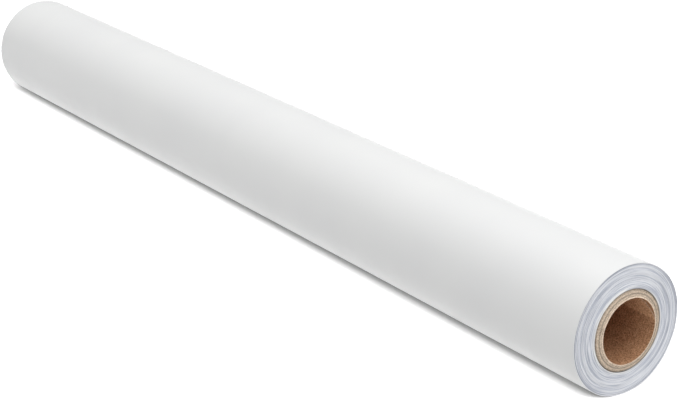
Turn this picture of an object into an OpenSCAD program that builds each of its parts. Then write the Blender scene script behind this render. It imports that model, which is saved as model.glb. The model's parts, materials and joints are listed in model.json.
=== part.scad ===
// Roll of self-adhesive sign vinyl on a spiral-wound paperboard core.
// The roll lies along X, and the origin is the middle of the core's bore. The web goes over the top
// from the front (-Y) to the back (+Y), face film outwards, and its free end is held by closing tapes.

/* [Core] */
// Bore of the paperboard core, a 3 inch core
core_bore_d = 76.2; // [70:0.1:80]
// Outside diameter of the core, for a wall of 3/8 inch
core_d = 95.2; // [86:0.1:100]
// Paperboard plies wound into the wall of the core
core_plies = 12; // [6:1:16]
// How far the innermost ply reaches past the web at each end
core_proud_in = 4.2; // [0:0.1:8]
// How far the outermost ply does, as the core's knife cut slants
core_proud_out = 1.6; // [0:0.1:4]

/* [Web] */
// Width of the web: 54 inches
web_w = 1371.6; // [600:0.1:1600]
// Outside diameter of the full roll
roll_d = 152; // [120:1:200]
// Thickness of the face film with its coat of adhesive
film_t = 0.10; // [0.08:0.01:0.20]
// Thickness of the paper release liner
liner_t = 0.14; // [0.10:0.01:0.20]
// Whole outer turns whose film and liner are modelled apart
outer_turns = 1; // [1:1:5]

/* [Free end] */
// Facets in the free end that lifts, at 3.75 degrees each
tail_facets = 10; // [7:1:16]
// Gap between the free end and the turn below it
tail_gap = 0.3; // [0.3:0.05:1]

/* [Tapes] */
// Width along the roll of each closing tape
tape_w = 25; // [15:1:50]
// Thickness of a closing tape
tape_t = 0.12; // [0.05:0.01:0.20]
// From an edge of the web to the middle of the closing tape nearest to it
tape_inset = 85.8; // [25:0.1:250]
// Thickness of the double-sided tape that holds the first turn to the core
core_tape_t = 0.10; // [0.05:0.01:0.15]

/* [Hidden] */
facets_per_turn = 96;
facet = 360 / facets_per_turn;
tail_edge_angle = 2.5 * facet;  // of the web's free edge, from +Y towards +Z; it lays a facet flat at the bottom
tape_facets = 5;                // how far a closing tape reaches each side of that edge
core_tape_facets = 8;
core_tape_angle = 200;
core_tape_margin = 12;          // from each end of the tape to the edge of the web
overcut = 1;                    // how far a cutter reaches past what it cuts

core_bore_r = core_bore_d / 2;
core_r = core_d / 2;
ply_t = (core_r - core_bore_r) / core_plies;
ply_step = (core_proud_in - core_proud_out) / (core_plies - 1);
web_t = film_t + liner_t;
tape_pitch = web_w / 2 - tape_inset;

// A place along the web is counted in facets back from its free edge, so inner places are negative.
hinge_place = -tail_facets;
outer_start = hinge_place - outer_turns * facets_per_turn;

// A length measured round the roll, in facets.
function in_facets(length) = length / (PI * roll_d) * facets_per_turn;

function angle_at(place) = tail_edge_angle - place * facet;
function under_r(place) = roll_d / 2 - web_t + web_t * (place - hinge_place) / facets_per_turn;
function on_ring(r, angle) = [r * cos(angle), r * sin(angle)];
function spiral(from, to, lift) =
    [for (place = [from : to]) on_ring(under_r(place) + lift, angle_at(place))];
function reversed(points) = [for (i = [len(points) - 1 : -1 : 0]) points[i]];

// The stretch of one layer between two places: lift is its underside's height above the turn below.
function layer(from, to, lift, thickness) =
    concat(spiral(from, to, lift), reversed(spiral(from, to, lift + thickness)));

// Extrudes a YZ outline along X, centred on a given X.
module along_roll(width, centre = 0) {
    translate([centre - width / 2, 0, 0])
        rotate([90, 0, 90])
            linear_extrude(height = width)
                children();
}

module core_ply(number) {
    shade = number == 1 ? "#6e4527" : number % 2 == 0 ? "#c9a67a" : "#bd9768";
    inner_r = core_bore_r + (number - 1) * ply_t;
    outer_r = core_bore_r + number * ply_t;
    ply_w = web_w + 2 * (core_proud_in - (number - 1) * ply_step);
    color(shade)
        rotate([0, 90, 0])
            difference() {
                cylinder(r = outer_r, h = ply_w, center = true, $fn = 96);
                cylinder(r = inner_r, h = ply_w + 2 * overcut, center = true, $fn = 96);
            }
}

// Facets whose middles touch the round core, from a given depth inside it to the tape's outside.
function core_tape_outline(depth) =
    let (touch_r = core_r / cos(facet / 2),
         angles = [for (i = [0 : core_tape_facets]) core_tape_angle + i * facet])
    concat([for (angle = angles) on_ring(touch_r - depth, angle)],
           [for (angle = reversed(angles)) on_ring(touch_r + core_tape_t, angle)]);

module core_tape() {
    color("#e8e2cc")
        along_roll(web_w - 2 * core_tape_margin)
            polygon(core_tape_outline(0));
}

// The turns below the outer ones, as one solid with the core's round seat and a pocket for its tape.
module wound_web() {
    color("#d9dce4")
        difference() {
            along_roll(web_w)
                polygon(spiral(outer_start, outer_start + facets_per_turn, 0));
            rotate([0, 90, 0])
                cylinder(r = core_r, h = web_w + 2 * overcut, center = true, $fn = 96);
            along_roll(web_w - 2 * core_tape_margin)
                polygon(core_tape_outline(overcut));
        }
}

module outer_liner() {
    color("#e6e8ec")
        along_roll(web_w)
            polygon(layer(outer_start, hinge_place, 0, liner_t));
}

module outer_film() {
    color("#f4f5f7")
        along_roll(web_w)
            polygon(layer(outer_start, hinge_place, liner_t, film_t));
}

// One layer of the free end, which starts a small gap past the end of the fixed turns.
// The hinge line is at that end, halfway through the web's thickness.
module tail_layer(lift, thickness) {
    root = hinge_place + in_facets(tail_gap);
    outline = concat(
        [on_ring(under_r(root) + lift, angle_at(root))],
        layer(hinge_place + 1, 0, lift, thickness),
        [on_ring(under_r(root) + lift + thickness, angle_at(root))]
    );
    along_roll(web_w)
        polygon(outline);
}

module tail_liner() {
    color("#e6e8ec")
        tail_layer(tail_gap, liner_t);
}

module tail_film() {
    color("#f4f5f7")
        tail_layer(tail_gap + liner_t, film_t);
}

// Runs over the free end's film, down its edge and on over the turn below.
module closing_tape(centre) {
    high = tail_gap + web_t;
    low = tail_gap;
    wall = in_facets(tape_t);
    outline = concat(
        spiral(-tape_facets, 0, high),
        spiral(0, tape_facets, low),
        reversed(spiral(1, tape_facets, low + tape_t)),
        [for (lift = [low, high]) on_ring(under_r(wall) + lift + tape_t, angle_at(wall))],
        reversed(spiral(-tape_facets, 0, high + tape_t))
    );
    color("#e9dcb4")
        along_roll(tape_w, centre)
            polygon(outline);
}

function ply_name(number) = str("core_ply_", number < 10 ? "0" : "", number);
tape_names = ["closing_tape_left", "closing_tape_centre", "closing_tape_right"];

for (number = [1 : core_plies])
    core_ply(number);
core_tape();
wound_web();
outer_liner();
outer_film();
tail_liner();
tail_film();
for (i = [0 : 2])
    closing_tape((i - 1) * tape_pitch);
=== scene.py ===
"""The looks of a roll of sign vinyl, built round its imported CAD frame.

The roll lies along X. The web is followed by its turn: the angle in degrees that it has wound,
which is 0 at its free edge and negative further in. The web goes over the top from -Y to +Y.
"""
import json
import math

import bpy
import numpy as np
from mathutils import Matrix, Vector


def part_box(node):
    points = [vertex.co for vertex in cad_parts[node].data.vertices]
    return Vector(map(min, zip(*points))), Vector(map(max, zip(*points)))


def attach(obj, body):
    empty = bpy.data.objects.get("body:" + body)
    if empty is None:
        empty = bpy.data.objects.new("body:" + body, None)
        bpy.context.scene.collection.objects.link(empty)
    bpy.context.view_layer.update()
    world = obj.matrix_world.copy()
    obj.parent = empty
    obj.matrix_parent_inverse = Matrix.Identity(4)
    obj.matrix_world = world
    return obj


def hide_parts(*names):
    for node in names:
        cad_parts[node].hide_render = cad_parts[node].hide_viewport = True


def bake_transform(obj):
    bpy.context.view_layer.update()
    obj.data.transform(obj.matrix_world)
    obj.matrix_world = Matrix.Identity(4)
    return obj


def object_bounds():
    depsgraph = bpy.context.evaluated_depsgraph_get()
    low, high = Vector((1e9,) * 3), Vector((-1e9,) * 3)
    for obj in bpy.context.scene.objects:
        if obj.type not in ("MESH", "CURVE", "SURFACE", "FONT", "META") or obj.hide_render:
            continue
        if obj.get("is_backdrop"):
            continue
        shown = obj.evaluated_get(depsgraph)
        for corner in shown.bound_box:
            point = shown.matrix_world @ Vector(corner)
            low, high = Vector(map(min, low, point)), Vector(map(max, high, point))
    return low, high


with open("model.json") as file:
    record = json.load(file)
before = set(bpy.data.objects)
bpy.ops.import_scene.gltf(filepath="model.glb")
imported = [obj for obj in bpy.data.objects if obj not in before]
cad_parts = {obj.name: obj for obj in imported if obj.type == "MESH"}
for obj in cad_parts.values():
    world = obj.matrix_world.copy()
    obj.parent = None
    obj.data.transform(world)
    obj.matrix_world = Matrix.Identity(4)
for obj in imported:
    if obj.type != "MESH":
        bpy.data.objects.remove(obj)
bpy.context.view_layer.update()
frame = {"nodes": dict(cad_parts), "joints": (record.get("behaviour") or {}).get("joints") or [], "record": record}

MM = 0.001

# --- sizes, from the frame where it has them ------------------------------------------------
mounts = {mount["name"]: mount for mount in frame["record"]["mounts"]}
BORE_R = mounts["core_bore"]["dims"]["r_mm"] * MM
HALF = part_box("outer_film")[1].x  # of the web's width
HINGE = np.array(frame["joints"][0]["pos_m"])
HINGE_ANGLE = math.degrees(math.atan2(HINGE[2], HINGE[1]))

ROLL_R = 76 * MM
CORE_R = 47.6 * MM
PLIES = sum(name.startswith("core_ply_") for name in frame["nodes"])
FILM_T = 0.10 * MM
LINER_T = 0.14 * MM
WEB_T = FILM_T + LINER_T
TAPE_T = 0.12 * MM
TAIL_GAP = 0.3 * MM

# Angle of the free edge from +Y towards +Z, and how far the tapes reach each side of it, in degrees
EDGE_ANGLE = 9.375
TAPE_REACH = 18.75

# Turns in degrees: the outer sheet runs from SHEET_START to SEAM_TURN, and the free end on to 0
HINGE_TURN = EDGE_ANGLE - HINGE_ANGLE
SHEET_START = HINGE_TURN - 450
SEAM_TURN = HINGE_TURN - 15

# Whole turns of the wound web below the outer sheet
WOUND_TURNS = 116


def angle_at(turn):
    """Angle round the roll, in radians from +Y towards +Z."""
    return np.radians(EDGE_ANGLE - turn)


def under_r(turn):
    """Radius of the web's underside."""
    return ROLL_R - WEB_T + WEB_T * (turn - HINGE_TURN) / 360


def smooth(low, high, value):
    """Rises smoothly from 0 at low to 1 at high, or falls if high is the lower of the two."""
    t = np.clip((value - low) / (high - low), 0, 1)
    return t * t * (3 - 2 * t)


def tail_lift(turn):
    """How far the free end stands off the turn below it, all of it just past the hinge line."""
    return TAIL_GAP * smooth(HINGE_TURN - 2, HINGE_TURN + 14, turn)


def unevenness(x, angle):
    """The slight waviness of a tightly wound roll, in metres, which dies out at its ends."""
    bands = 0.035 * np.sin(x * 17 + 1.3) + 0.022 * np.sin(x * 41 + 0.4)
    lobes = 0.03 * np.sin(2 * angle + x * 5 + 0.7) + 0.016 * np.sin(5 * angle - x * 11)
    return (bands + lobes + 0.1) * MM * smooth(0, 60 * MM, HALF - np.abs(x))


# --- mesh helpers ---------------------------------------------------------------------------
def quads(grid):
    """The faces of a grid of point numbers."""
    corners = [grid[:-1, :-1], grid[1:, :-1], grid[1:, 1:], grid[:-1, 1:]]
    return np.stack([c.ravel() for c in corners], axis=1)


def outwards(points, faces):
    """Turns the faces over if they enclose a negative volume."""
    a, b, c, d = (points[faces[:, i]] for i in range(4))
    volume = np.einsum("ij,ij->", a, np.cross(b, c)) + np.einsum("ij,ij->", a, np.cross(c, d))
    return faces if volume > 0 else faces[:, ::-1]


def add_piece(name, points, faces, materials, face_materials=None, crease=30):
    """A closed mesh object, smooth except at edges sharper than the crease in degrees."""
    used, faces = np.unique(faces, return_inverse=True)
    points, faces = points.reshape(-1, 3)[used], faces.reshape(-1, 4)
    mesh = bpy.data.meshes.new(name)
    mesh.from_pydata(points.tolist(), [], outwards(points, faces).tolist())
    for material in materials:
        mesh.materials.append(material)
    if face_materials is not None:
        mesh.polygons.foreach_set("material_index", face_materials.astype(np.int32))
    mesh.polygons.foreach_set("use_smooth", np.ones(len(faces), bool))
    mesh.set_sharp_from_angle(angle=math.radians(crease))
    mesh.update()
    piece = bpy.data.objects.new(name, mesh)
    bpy.context.scene.collection.objects.link(piece)
    return piece


def sweep_faces(loops):
    """Faces of a closed solid from loops of points: half of each loop is its outside, half its inside."""
    count, size = loops.shape[:2]
    index = np.arange(count * size).reshape(count, size)
    sides = quads(np.concatenate([index, index[:, :1]], axis=1))
    folded = np.stack([index[:, : size // 2], index[:, : size // 2 - 1 : -1]], axis=1)
    first = quads(folded[0].T)
    last = quads(folded[-1].T)[:, ::-1]
    return np.concatenate([sides, first, last])


def on_roll(x, radius, angle):
    """Points at places along the roll, at distances from its axis and angles round it."""
    x, radius, angle = np.broadcast_arrays(x, radius, angle)
    return np.stack([x, radius * np.cos(angle), radius * np.sin(angle)], axis=-1)


# --- procedural materials -------------------------------------------------------------------
# Sockets of a Mix node that mixes colours, by number because its names repeat for each data type
MIX_FACTOR, MIX_FIRST, MIX_SECOND, MIX_RESULT = 0, 6, 7, 2

# The values between which nearly all of a noise texture lies
NOISE_LOW, NOISE_HIGH = 0.3, 0.7


class Nodes:
    """A material's node tree, with short calls for what the materials here share."""

    def __init__(self, name):
        self.material = bpy.data.materials.new(name)
        self.material.use_nodes = True
        self.tree = self.material.node_tree
        self.shader = self.tree.nodes["Principled BSDF"]
        self.place = self.add("ShaderNodeTexCoord").outputs["Object"]

    def add(self, kind, **settings):
        node = self.tree.nodes.new(kind)
        for key, value in settings.items():
            setattr(node, key, value)
        return node

    def link(self, output, node, socket):
        self.tree.links.new(output, node.inputs[socket])

    def stretched(self, scale, place=None):
        node = self.add("ShaderNodeMapping")
        node.inputs["Scale"].default_value = scale
        self.link(place or self.place, node, "Vector")
        return node.outputs["Vector"]

    def polar(self):
        """Distance from the roll's axis, and the cosine and sine of the angle round it, as a vector."""
        split = self.add("ShaderNodeSeparateXYZ")
        self.link(self.place, split, "Vector")
        flat = self.add("ShaderNodeCombineXYZ")
        self.link(split.outputs["Y"], flat, "Y")
        self.link(split.outputs["Z"], flat, "Z")
        radius = self.add("ShaderNodeVectorMath", operation="LENGTH")
        self.link(flat.outputs["Vector"], radius, 0)
        way = self.add("ShaderNodeVectorMath", operation="NORMALIZE")
        self.link(flat.outputs["Vector"], way, 0)
        along = self.add("ShaderNodeCombineXYZ")
        self.link(radius.outputs["Value"], along, "X")
        joined = self.add("ShaderNodeVectorMath", operation="ADD")
        self.link(way.outputs["Vector"], joined, 0)
        self.link(along.outputs["Vector"], joined, 1)
        return joined.outputs["Vector"]

    def noise(self, place, scale, detail=3.0, rough=0.5):
        node = self.add("ShaderNodeTexNoise")
        node.inputs["Scale"].default_value = scale
        node.inputs["Detail"].default_value = detail
        node.inputs["Roughness"].default_value = rough
        self.link(place, node, "Vector")
        return node.outputs["Fac"]

    def ramp(self, value, stops):
        """Colours at given values, blended between."""
        node = self.add("ShaderNodeValToRGB")
        elements = node.color_ramp.elements
        while len(elements) < len(stops):
            elements.new(0.5)
        for element, (position, colour) in zip(elements, stops):
            element.position = position
            element.color = (*colour, 1)
        self.link(value, node, "Fac")
        return node.outputs["Color"]

    def between(self, value, low, high):
        """A noise's values spread from low to high."""
        node = self.add("ShaderNodeMapRange")
        node.inputs["From Min"].default_value = NOISE_LOW
        node.inputs["From Max"].default_value = NOISE_HIGH
        node.inputs["To Min"].default_value = low
        node.inputs["To Max"].default_value = high
        self.link(value, node, "Value")
        return node.outputs["Result"]

    def mix(self, factor, first, second, mode="MIX"):
        node = self.add("ShaderNodeMix", data_type="RGBA", blend_type=mode)
        node.inputs[MIX_FACTOR].default_value = factor
        self.link(first, node, MIX_FIRST)
        self.link(second, node, MIX_SECOND)
        return node.outputs[MIX_RESULT]

    def bump(self, height, distance, strength):
        node = self.add("ShaderNodeBump")
        node.inputs["Strength"].default_value = strength
        node.inputs["Distance"].default_value = distance
        self.link(height, node, "Height")
        return node.outputs["Normal"]

    def finish(self, colour, roughness, normal=None, **constants):
        """Joins the shader up. Constants go by their sockets' names, with _ for a space."""
        self.link(colour, self.shader, "Base Color")
        self.link(roughness, self.shader, "Roughness")
        if normal is not None:
            self.link(normal, self.shader, "Normal")
        for socket, value in constants.items():
            self.shader.inputs[socket.replace("_", " ")].default_value = value
        return self.material


def film_material():
    """Satin white calendered film: faintly pebbled, with a slow change of gloss along the roll."""
    nodes = Nodes("white_film")
    cloud = nodes.noise(nodes.place, 9, 2)
    colour = nodes.ramp(cloud, [(0.3, (0.81, 0.815, 0.815)), (0.7, (0.83, 0.835, 0.83))])
    pebble = nodes.noise(nodes.place, 900, 2)
    bands = nodes.noise(nodes.stretched((14, 2, 2)), 3, 3)
    normal = nodes.bump(pebble, 0.02 * MM, 0.25)
    return nodes.finish(colour, nodes.between(bands, 0.32, 0.40), normal, Specular_IOR_Level=0.3)


def edge_rings(nodes, dark, pale):
    """The wound edge: ring-shaped streaks, paler first turns, and painted shade where the web meets the core and
    over the grooves further out.
    """
    polar = nodes.polar()
    wide = nodes.noise(nodes.stretched((850, 0.9, 0.9), polar), 1, 2, 0.7)
    narrow = nodes.noise(nodes.stretched((2100, 2, 2), polar), 1, 2, 0.6)
    middle = tuple((a + b) / 2 for a, b in zip(dark, pale))
    broad = nodes.ramp(wide, [(0.43, dark), (0.485, middle), (0.54, pale)])
    fine = nodes.ramp(narrow, [(0.42, dark), (0.50, middle), (0.58, pale)])
    radius = nodes.add("ShaderNodeSeparateXYZ")
    nodes.link(polar, radius, "Vector")
    share = nodes.add("ShaderNodeMapRange")
    share.inputs["From Min"].default_value = CORE_R
    share.inputs["From Max"].default_value = ROLL_R
    nodes.link(radius.outputs["X"], share, "Value")
    # The faint blue in this grey is a painted cool cast of shade on the roll's ends
    plain = (0.93, 0.935, 0.955)
    tone = nodes.ramp(share.outputs["Result"], [
        # Painted shade where the web meets the core
        (0.00, (0.55, 0.52, 0.49)),
        (0.025, (1.0, 0.985, 0.96)),
        (0.08, (1.0, 0.99, 0.97)),
        (0.12, plain),
        (0.795, plain),
        # Painted shade over the groove at turns 96 and 97
        (0.81, (0.74, 0.74, 0.76)),
        (0.825, plain),
        (0.925, plain),
        # Painted shade over the groove at turns 112 to 114
        (0.945, (0.48, 0.48, 0.52)),
        (0.965, plain),
        (1.0, (0.95, 0.95, 0.95)),
    ])
    return nodes.mix(1.0, nodes.mix(0.25, broad, fine), tone, "MULTIPLY")


def film_edge_material():
    """The knife-cut edge of the film: ring-shaped streaks with small nicks."""
    nodes = Nodes("film_edge")
    # The blue in these greys is a painted cool cast of shade on the roll's ends
    rings = edge_rings(nodes, (0.56, 0.59, 0.66), (1.0, 1.0, 1.0))
    grain = nodes.noise(nodes.place, 1400, 3, 0.6)
    nicks = nodes.ramp(grain, [(0.35, (0.60, 0.62, 0.68)), (0.65, (0.95, 0.96, 0.98))])
    colour = nodes.mix(0.15, rings, nicks)
    normal = nodes.bump(grain, 0.05 * MM, 0.4)
    return nodes.finish(colour, nodes.between(grain, 0.42, 0.6), normal, Specular_IOR_Level=0.4)


def liner_edge_material():
    """The cut edge of the coated paper liner, a little greyer and rougher than the film's."""
    nodes = Nodes("liner_edge")
    # The blue in these greys is a painted cool cast of shade on the roll's ends
    rings = edge_rings(nodes, (0.50, 0.53, 0.60), (0.97, 0.98, 0.99))
    grain = nodes.noise(nodes.place, 2200, 3, 0.65)
    nicks = nodes.ramp(grain, [(0.35, (0.52, 0.54, 0.60)), (0.65, (0.90, 0.91, 0.93))])
    colour = nodes.mix(0.15, rings, nicks)
    normal = nodes.bump(grain, 0.08 * MM, 0.5)
    return nodes.finish(colour, nodes.between(grain, 0.6, 0.8), normal, Specular_IOR_Level=0.3)


def liner_material():
    """The paper side of the release liner: smooth, faintly mottled."""
    nodes = Nodes("liner_paper")
    fibres = nodes.noise(nodes.stretched((60, 240, 240)), 6, 4, 0.6)
    cloud = nodes.noise(nodes.place, 60, 3)
    threads = nodes.ramp(fibres, [(0.35, (0.70, 0.71, 0.73)), (0.65, (0.80, 0.81, 0.82))])
    mottle = nodes.ramp(cloud, [(0.35, (0.74, 0.75, 0.76)), (0.65, (0.80, 0.80, 0.80))])
    colour = nodes.mix(0.4, threads, mottle)
    normal = nodes.bump(fibres, 0.02 * MM, 0.4)
    return nodes.finish(colour, nodes.between(cloud, 0.5, 0.62), normal, Specular_IOR_Level=0.35)


def kraft_material():
    """Brown kraft paper on the inside of the core: mottled, with pale and dark fibres."""
    nodes = Nodes("kraft_bore")
    mottle = nodes.noise(nodes.place, 620, 3, 0.7)
    fibres = nodes.noise(nodes.stretched((900, 2600, 2600)), 1, 4, 0.7)
    cloud = nodes.noise(nodes.place, 45, 3)
    dark, middle, pale = (0.20, 0.095, 0.045), (0.52, 0.275, 0.145), (0.86, 0.54, 0.33)
    base = nodes.ramp(mottle, [(0.40, dark), (0.5, middle), (0.60, pale)])
    flecks = nodes.ramp(fibres, [(0.38, dark), (0.5, middle), (0.62, pale)])
    patches = nodes.ramp(cloud, [(0.35, (0.40, 0.20, 0.10)), (0.65, (0.62, 0.35, 0.19))])
    colour = nodes.mix(0.2, nodes.mix(0.35, base, flecks), patches)
    normal = nodes.bump(fibres, 0.12 * MM, 0.6)
    return nodes.finish(colour, nodes.between(mottle, 0.72, 0.9), normal, Specular_IOR_Level=0.25)


def board_material(number, tone):
    """One ply's board in its own tone, with the torn and pressed fibres of its cut edge."""
    nodes = Nodes(f"core_board_{number:02d}")
    polar = nodes.polar()
    streaks = nodes.noise(nodes.stretched((2600, 26, 26), polar), 1, 4, 0.7)
    patches = nodes.noise(nodes.stretched((1300, 7, 7), polar), 1, 3, 0.7)
    flecks = nodes.noise(nodes.place, 700, 4, 0.75)
    dark = np.array((0.34, 0.25, 0.18)) * tone
    pale = np.array((0.80, 0.68, 0.55)) * tone
    middle = (dark + pale) / 2
    base = nodes.ramp(streaks, [(0.36, dark), (0.5, middle), (0.64, pale)])
    broad = nodes.ramp(patches, [(0.40, dark * 0.9), (0.5, middle), (0.60, pale * 1.1)])
    specks = nodes.ramp(flecks, [
        (0.38, dark * 0.45),
        (0.46, middle * 0.95),
        (0.60, pale),
        (0.70, pale * 1.15),
    ])
    colour = nodes.mix(0.5, nodes.mix(0.5, base, broad), specks)
    normal = nodes.bump(flecks, 0.2 * MM, 0.8)
    return nodes.finish(colour, nodes.between(flecks, 0.8, 0.95), normal, Specular_IOR_Level=0.2)


def tape_material():
    """Creped cream masking tape."""
    nodes = Nodes("creped_tape")
    crepe = nodes.noise(nodes.stretched((160, 1500, 1500)), 1, 4, 0.65)
    cloud = nodes.noise(nodes.place, 70, 2)
    creases = nodes.ramp(crepe, [(0.3, (0.56, 0.45, 0.26)), (0.7, (0.74, 0.64, 0.44))])
    patches = nodes.ramp(cloud, [(0.35, (0.64, 0.54, 0.34)), (0.65, (0.72, 0.62, 0.42))])
    colour = nodes.mix(0.5, creases, patches)
    normal = nodes.bump(crepe, 0.08 * MM, 0.7)
    return nodes.finish(colour, nodes.between(crepe, 0.55, 0.7), normal, Specular_IOR_Level=0.35)


def mounting_tape_material():
    """Off-white double-sided tape."""
    nodes = Nodes("double_sided_tape")
    cloud = nodes.noise(nodes.place, 120, 3)
    colour = nodes.ramp(cloud, [(0.35, (0.70, 0.66, 0.55)), (0.65, (0.78, 0.75, 0.66))])
    return nodes.finish(colour, nodes.between(cloud, 0.5, 0.65), nodes.bump(cloud, 0.02 * MM, 0.4))


def floor_material():
    """A pale floor with a faint glow of its own."""
    nodes = Nodes("studio_floor")
    cloud = nodes.noise(nodes.place, 3, 2)
    colour = nodes.ramp(cloud, [(0.3, (0.29, 0.29, 0.29)), (0.7, (0.30, 0.30, 0.30))])
    nodes.shader.inputs["Emission Color"].default_value = (1, 1, 1, 1)
    roughness = nodes.between(cloud, 0.9, 0.95)
    return nodes.finish(colour, roughness, Specular_IOR_Level=0.1, Emission_Strength=0.1)


film = film_material()
film_edge = film_edge_material()
liner = liner_material()
liner_edge = liner_edge_material()
kraft = kraft_material()
creped = tape_material()


# --- how far each turn stands out at the ends of the roll -----------------------------------
# All in millimetres. Groups of turns shift together, and each turn a little more on its own.
GROUP_SHIFT = 0.2
GROUP_SIZES = (3, 10)
TURN_SHIFT = 0.04

# Single turns that have sunk in at random, and wider grooves as (first turn, last turn, depth)
SUNK_TURNS = 12
SUNK_DEPTHS = (0.35, 0.8)
WIDE_GROOVES = [(96, 97, 0.5), (112, 114, 0.6)]

# The end cones out towards the core, and its first turns stand out further still
FIRST_TURNS = 9
FIRST_TURNS_OUT = 0.5
CONE_TURNS = (36, 4)
CONE_OUT = 1.1


def end_levels(seed):
    """How far each whole turn of the web, counted from the core, stands out at one end, in metres."""
    rng = np.random.default_rng(seed)
    count = WOUND_TURNS + 4  # with the turns of the outer sheet and the free end
    turn = np.arange(count)
    level = np.zeros(count)
    start = 0
    while start < count:
        size = rng.integers(*GROUP_SIZES)
        level[start : start + size] = rng.normal(0, GROUP_SHIFT)
        start += size
    level += rng.normal(0, TURN_SHIFT, count)
    sunk = rng.choice(np.arange(14, count - 8), SUNK_TURNS, replace=False)
    level[sunk] -= rng.uniform(*SUNK_DEPTHS, SUNK_TURNS)
    level += FIRST_TURNS_OUT * (turn < FIRST_TURNS) + CONE_OUT * smooth(*CONE_TURNS, turn)
    for first, last, depth in WIDE_GROOVES:
        level[first : last + 1] -= depth
    return level * MM


LEVELS = {1: end_levels(11), -1: end_levels(29)}


def end_place(turn, side):
    """X of the web's cut edge at a place along the web, at the roll's +X (1) or -X (-1) end."""
    wound = (turn - SHEET_START) / 360 + WOUND_TURNS
    levels = LEVELS[side]
    return side * (HALF + np.interp(wound, np.arange(len(levels)), levels))


# --- the wound web --------------------------------------------------------------------------
ROWS_PER_TURN = 4
COLUMNS = 96
HAIR = 0.005 * MM  # between the top of a layer and the underside of the next
ROW_HEIGHTS = np.array([0, LINER_T - HAIR, LINER_T, WEB_T - HAIR])
LINER_RECESS = 0.05 * MM


def wound_end(side):
    """Points of one end of the wound web, by row from the core outwards and column round it.

    A row is an edge of a layer: underside and top of the liner, then of the film. A row climbs
    by one turn as it goes round, so past its last column it meets the row one turn further out.
    """
    rows = np.arange((WOUND_TURNS + 1) * ROWS_PER_TURN + 1)[:, None]
    columns = np.arange(COLUMNS)[None, :]
    layer = rows % ROWS_PER_TURN
    start = SHEET_START - WOUND_TURNS * 360
    turn = start + (rows // ROWS_PER_TURN + columns / COLUMNS) * 360
    radius = under_r(turn) + ROW_HEIGHTS[layer]
    recess = np.where(layer < 2, LINER_RECESS, 0)
    x = end_place(turn, side) - side * recess
    return on_roll(x, radius, angle_at(turn))


def wound_web():
    """The inner turns as one solid, whose ends show the true edges of every turn."""
    right, left = wound_end(1), wound_end(-1)
    rows = WOUND_TURNS * ROWS_PER_TURN
    index = np.arange(right.size // 3).reshape(-1, COLUMNS)
    past_last = index[ROWS_PER_TURN : rows + ROWS_PER_TURN + 1, :1]
    end = quads(np.concatenate([index[: rows + 1], past_last], axis=1))

    def wall(row):
        """Joins the two ends round the inside or outside, with the step where that turn starts."""
        step = index[row + ROWS_PER_TURN : row : -1, 0]
        loop = np.concatenate([index[row], step, index[row, :1]])
        return quads(np.stack([loop, loop + index.size], axis=1))

    faces = np.concatenate([end, end[:, ::-1] + index.size, wall(0), wall(rows)[:, ::-1]])
    layer = np.arange(rows).repeat(COLUMNS) % ROWS_PER_TURN
    is_film = np.isin(layer, (1, 2)).astype(int)
    materials = np.concatenate([is_film, is_film, np.zeros(len(faces) - 2 * len(end))])
    piece = add_piece("wound_turns", np.stack([right, left]), faces, [liner_edge, film_edge], materials)
    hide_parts("wound_web")
    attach(piece, "roll")


# --- the sheets of the outer turn and the free end ------------------------------------------
SHEET_COLUMNS = 96
OUTER_ROWS = 349
FREE_END_ROWS = 71
BEND = 16  # degrees past the hinge line


def sheet(name, turns, height, thickness, surface, edge):
    """A layer of the web over a stretch of turns, at a height above the turn below."""
    even = np.linspace(-1, 1, SHEET_COLUMNS)
    spread = np.sin(even * math.pi / 2) * 0.5 + even * 0.5
    turn = turns[:, None]
    right, left = end_place(turn, 1), end_place(turn, -1)
    x = left + (right - left) * (spread + 1) / 2
    angle = angle_at(turn)
    base = under_r(turn) + tail_lift(turn) + unevenness(x, angle) + height
    outside = on_roll(x, base + thickness, angle)
    inside = on_roll(x, base, angle)[:, ::-1]
    loops = np.concatenate([outside, inside], axis=1)
    faces = sweep_faces(loops)
    across = np.zeros(2 * SHEET_COLUMNS)
    across[[SHEET_COLUMNS - 1, -1]] = 1
    materials = np.ones(len(faces))
    materials[: (len(turns) - 1) * len(across)] = np.tile(across, len(turns) - 1)
    return add_piece(name, loops, faces, [surface, edge], materials)


def outer_turn():
    """The outermost turn, which the free end carries on from."""
    turns = np.linspace(SHEET_START, SEAM_TURN, OUTER_ROWS)
    liner_piece = sheet("liner_wrap", turns, 0, LINER_T, liner, liner_edge)
    film_piece = sheet("film_wrap", turns, LINER_T, FILM_T, film, film_edge)
    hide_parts("outer_liner")
    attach(liner_piece, "roll")
    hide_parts("outer_film")
    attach(film_piece, "roll")


def free_end():
    """The end of the web, which stands a little off the turn below past the hinge line, and is taped down."""
    turns = np.linspace(SEAM_TURN, 0, FREE_END_ROWS)
    liner_piece = sheet("free_end_liner", turns, 0, LINER_T, liner, liner_edge)
    film_piece = sheet("free_end_film", turns, LINER_T, FILM_T, film, film_edge)
    bend_end = on_roll(0.0, ROLL_R, angle_at(HINGE_TURN + BEND))
    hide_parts("tail_liner")
    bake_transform(liner_piece)
    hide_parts("tail_film")
    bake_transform(film_piece)


# --- the closing tapes ----------------------------------------------------------------------
TEETH = 10
TOOTH_DEPTH = 0.75 * MM
TAPE_ROWS = 61
RUMPLE = 0.03 * MM


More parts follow.
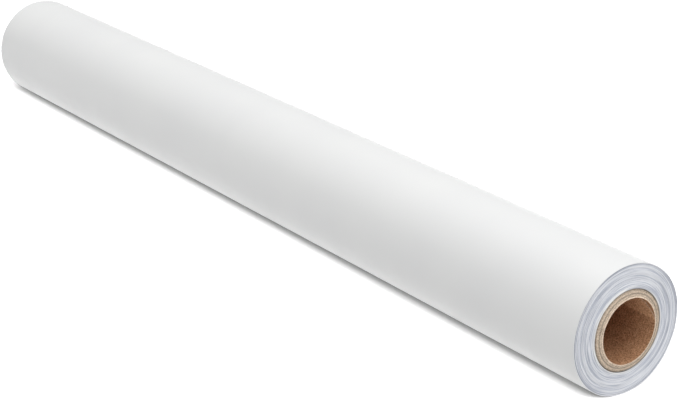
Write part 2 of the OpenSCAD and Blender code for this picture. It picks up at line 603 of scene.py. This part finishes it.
def closing_tape(name):
    """A piece torn off on a toothed cutter, over the free edge and down onto the turn below."""
    low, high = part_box(name)
    columns = 2 * TEETH + 1
    x = np.linspace(low[0], high[0], columns)[None, :]
    along = np.linspace(0, 1, TAPE_ROWS)[:, None]
    notch = np.degrees(TOOTH_DEPTH / ROLL_R) * (np.arange(columns) % 2)[None, :]
    turn = -TAPE_REACH + notch + (2 * TAPE_REACH - 2 * notch) * along
    angle = angle_at(turn)
    over_edge = 1 - smooth(0.1, 1.3, turn)
    rumple = RUMPLE * (1 + np.sin(turn * 1.9 + x * 260) * np.sin(x * 410))
    base = under_r(turn) + TAIL_GAP + WEB_T * over_edge + unevenness(x, angle) + rumple
    outside = on_roll(x, base + TAPE_T, angle)
    inside = on_roll(x, base, angle)[:, ::-1]
    loops = np.concatenate([outside, inside], axis=1)
    piece = add_piece(name + "_strip", loops, sweep_faces(loops), [creped])
    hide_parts(name)
    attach(piece, "tail")


# --- the paperboard core --------------------------------------------------------------------
PLY_T = (CORE_R - BORE_R) / PLIES
GLUE_LINE = 0.05 * MM
ROUNDING = 0.14 * MM
STRIP_LEAD = 113 * MM
STRIP_SEAM = 0.5 * MM

# In millimetres: how far a ply's cut end is off, how far it wavers, and how far the outermost is in
CUT_SHIFT = 0.1
CUT_WOBBLE = 0.05
OUTER_RECESS = 1.0

# Where each ply's seam meets the +X end, in degrees: four together at the bore, the rest spread out
SEAM_ANGLES = [8, 10, 6, 9] + [8 + 137.5 * step for step in range(1, PLIES - 3)]

# How light each ply's board is, from the bore outwards
PLY_TONES = [1.45, 1.3, 0.95, 1.2, 0.95, 0.6, 0.95, 1.2, 1.1, 0.9, 0.75, 0.45]

# How far the knife's slanted cut runs back across one ply
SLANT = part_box("core_ply_01")[1].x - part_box("core_ply_02")[1].x


def strip_steps(length):
    """Angles back from a strip's +X tip, close together round both ends of the tube."""
    fine, coarse, tip = 2.5, 6.0, 1.2
    near = np.arange(tip, 370, fine)
    far = length - near[::-1]
    middle = np.arange(near[-1] + coarse, far[0] - coarse / 2, coarse)
    return np.concatenate([near, middle, far])


def strip_loops(edge, inner, outer, angle):
    """Loops round a strip's rounded section: its outside from -X to +X, then its inside back."""
    round_x = np.minimum(ROUNDING, (edge(1, 0) - edge(0, 0)) / 5)
    middle = (inner + outer) / 2
    corners = [
        (edge(0, 0) + round_x, outer),
        (edge(1, 0) - round_x, outer),
        (edge(1, 0.2), outer - ROUNDING),
        (edge(1, 0.5) + round_x / 2, middle),
        (edge(1, 0.8), inner + ROUNDING),
        (edge(1, 1) - round_x, inner),
        (edge(0, 1) + round_x, inner),
        (edge(0, 0.8), inner + ROUNDING),
        (edge(0, 0.5) - round_x / 2, middle),
        (edge(0, 0.2), outer - ROUNDING),
    ]
    return np.stack([on_roll(x, radius, angle) for x, radius in corners], axis=1)


def core_strip(number):
    """One ply: a strip of board wound as a helix, its edges a hair apart, with its ends cut off."""
    name = f"core_ply_{number:02d}"
    rng = np.random.default_rng(100 + number)
    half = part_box(name)[1].x
    inner = BORE_R + (number - 1) * PLY_T
    outer = inner + PLY_T - (GLUE_LINE if number < PLIES else 0)
    back = strip_steps((2 * half + STRIP_LEAD - STRIP_SEAM) / STRIP_LEAD * 360)
    angle = np.radians(SEAM_ANGLES[number - 1] + back)

    waves = np.arange(3, 40)
    sizes = rng.normal(0, 1, (2, len(waves))) / np.sqrt(waves)
    phases = rng.uniform(0, 2 * math.pi, (2, len(waves)))
    proud = rng.normal(0, CUT_SHIFT, 2) - (OUTER_RECESS if number == PLIES else 0)
    low_seam = half - STRIP_LEAD * back / 360
    high_seam = low_seam + STRIP_LEAD - STRIP_SEAM

    def edge(end, depth):
        """X of the strip's -X (0) or +X (1) edge, at a depth from 0 outside to 1 inside."""
        wobble = (sizes[end] * np.sin(waves * angle[:, None] + phases[end])).sum(axis=1)
        knife = half + (proud[end] + CUT_WOBBLE * wobble) * MM + SLANT * (depth - 0.5)
        return np.minimum(high_seam, knife) if end else np.maximum(low_seam, -knife)

    loops = strip_loops(edge, inner, outer, angle)
    faces = sweep_faces(loops)
    board = board_material(number, PLY_TONES[number - 1])
    surface = kraft if number == 1 else board
    size = loops.shape[1]
    across = np.ones(size)
    across[size // 2] = 0  # the inside, between the section's two halves
    materials = np.ones(len(faces))
    materials[: (len(back) - 1) * size] = np.tile(across, len(back) - 1)
    piece = add_piece(name.replace("ply", "strip"), loops, faces, [surface, board], materials, crease=50)
    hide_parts(name)
    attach(piece, "roll")


# --- camera, floor and lights ---------------------------------------------------------------
CAMERA_LENS = 94.68
CAMERA_TARGET = np.array([0.2053, -0.0341, 0.0031])
CAMERA_DIRECTION = (54.53, 20.78)
CAMERA_DISTANCE = 2.2538
FLOOR_REACH = 12.0

# Greys of the world's light straight below, level with the roll and straight above
WORLD_GREYS = (0.74, 0.62, 0.77)


def direction(azimuth, elevation):
    """From the object towards the viewer. Azimuth 0 is in front, on the -Y side, and 90 is at +X."""
    azimuth, elevation = math.radians(azimuth), math.radians(elevation)
    flat = math.cos(elevation)
    return np.array([math.sin(azimuth) * flat, -math.cos(azimuth) * flat, math.sin(elevation)])


def aim(thing, place, target):
    thing.location = place
    thing.rotation_euler = (Vector(target) - Vector(place)).to_track_quat("-Z", "Y").to_euler()


def camera():
    """Close to the roll's near end, with the roll running from the lower right to the upper left."""
    data = bpy.data.cameras.new("camera")
    data.lens = CAMERA_LENS
    eye = bpy.data.objects.new("camera", data)
    bpy.context.scene.collection.objects.link(eye)
    aim(eye, CAMERA_TARGET + direction(*CAMERA_DIRECTION) * CAMERA_DISTANCE, CAMERA_TARGET)
    bpy.context.scene.camera = eye


def add_light(data, place, target):
    light = bpy.data.objects.new(data.name, data)
    bpy.context.scene.collection.objects.link(light)
    aim(light, place, target)
    return light


def softbox(name, place, target, size, power):
    data = bpy.data.lights.new(name, "AREA")
    data.shape = "RECTANGLE"
    data.size, data.size_y = size
    data.energy = power
    return add_light(data, place, target)


def floor():
    """A wide floor that the roll lies on.

    Diffuse light doesn't bounce off it, since a floor this bright would wash out the roll's
    underside. The lower half of the world stands in for it there.
    """
    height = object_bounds()[0][2]
    ways = ((-1, -1), (1, -1), (1, 1), (-1, 1))
    corners = [(x * FLOOR_REACH, y * FLOOR_REACH, height) for x, y in ways]
    mesh = bpy.data.meshes.new("floor")
    mesh.from_pydata(corners, [], [(0, 1, 2, 3)])
    mesh.materials.append(floor_material())
    ground = bpy.data.objects.new("floor", mesh)
    bpy.context.scene.collection.objects.link(ground)
    ground.visible_diffuse = False
    ground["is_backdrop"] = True
    return ground


def floor_wash(ground):
    """A sun from behind the camera that whitens the floor alone, up to a narrow shadow by the roll."""
    data = bpy.data.lights.new("floor_wash", "SUN")
    data.energy = 19
    data.angle = math.radians(22)
    wash = add_light(data, direction(54, 36) * 3, (0, 0, 0))
    lit = bpy.data.collections.new("lit_by_floor_wash")
    lit.objects.link(ground)
    wash.light_linking.receiver_collection = lit


def studio_world():
    """Even grey light from all round, a little dimmer near the horizon."""
    world = bpy.data.worlds.new("studio")
    world.use_nodes = True
    nodes, links = world.node_tree.nodes, world.node_tree.links
    split = nodes.new("ShaderNodeSeparateXYZ")
    share = nodes.new("ShaderNodeMapRange")
    share.inputs["From Min"].default_value = -1
    ramp = nodes.new("ShaderNodeValToRGB")
    ramp.color_ramp.elements.new(0.5)
    for stop, grey in zip(ramp.color_ramp.elements, WORLD_GREYS):
        stop.color = (grey, grey, grey, 1)
    links.new(nodes.new("ShaderNodeTexCoord").outputs["Generated"], split.inputs["Vector"])
    links.new(split.outputs["Z"], share.inputs["Value"])
    links.new(share.outputs["Result"], ramp.inputs["Fac"])
    links.new(ramp.outputs["Color"], nodes["Background"].inputs["Color"])
    return world


def studio():
    scene = bpy.context.scene
    scene.world = studio_world()
    scene.view_settings.view_transform = "Standard"
    scene.view_settings.look = "None"
    softbox("overhead", place=(0.1, 0, 3.2), target=(0.1, 0, 0), size=(5.0, 3.0), power=49)
    near_end = np.array([HALF, 0, 0])
    beside = near_end + direction(94, 29) * 2.0
    softbox("end_light", place=beside, target=near_end, size=(1.1, 1.1), power=9)
    floor_wash(floor())


wound_web()
outer_turn()
free_end()
for tape in ("closing_tape_left", "closing_tape_centre", "closing_tape_right"):
    closing_tape(tape)
for ply in range(1, PLIES + 1):
    core_strip(ply)
frame["nodes"]["core_tape"].data.materials.clear()
frame["nodes"]["core_tape"].data.materials.append(mounting_tape_material())
camera()
studio()
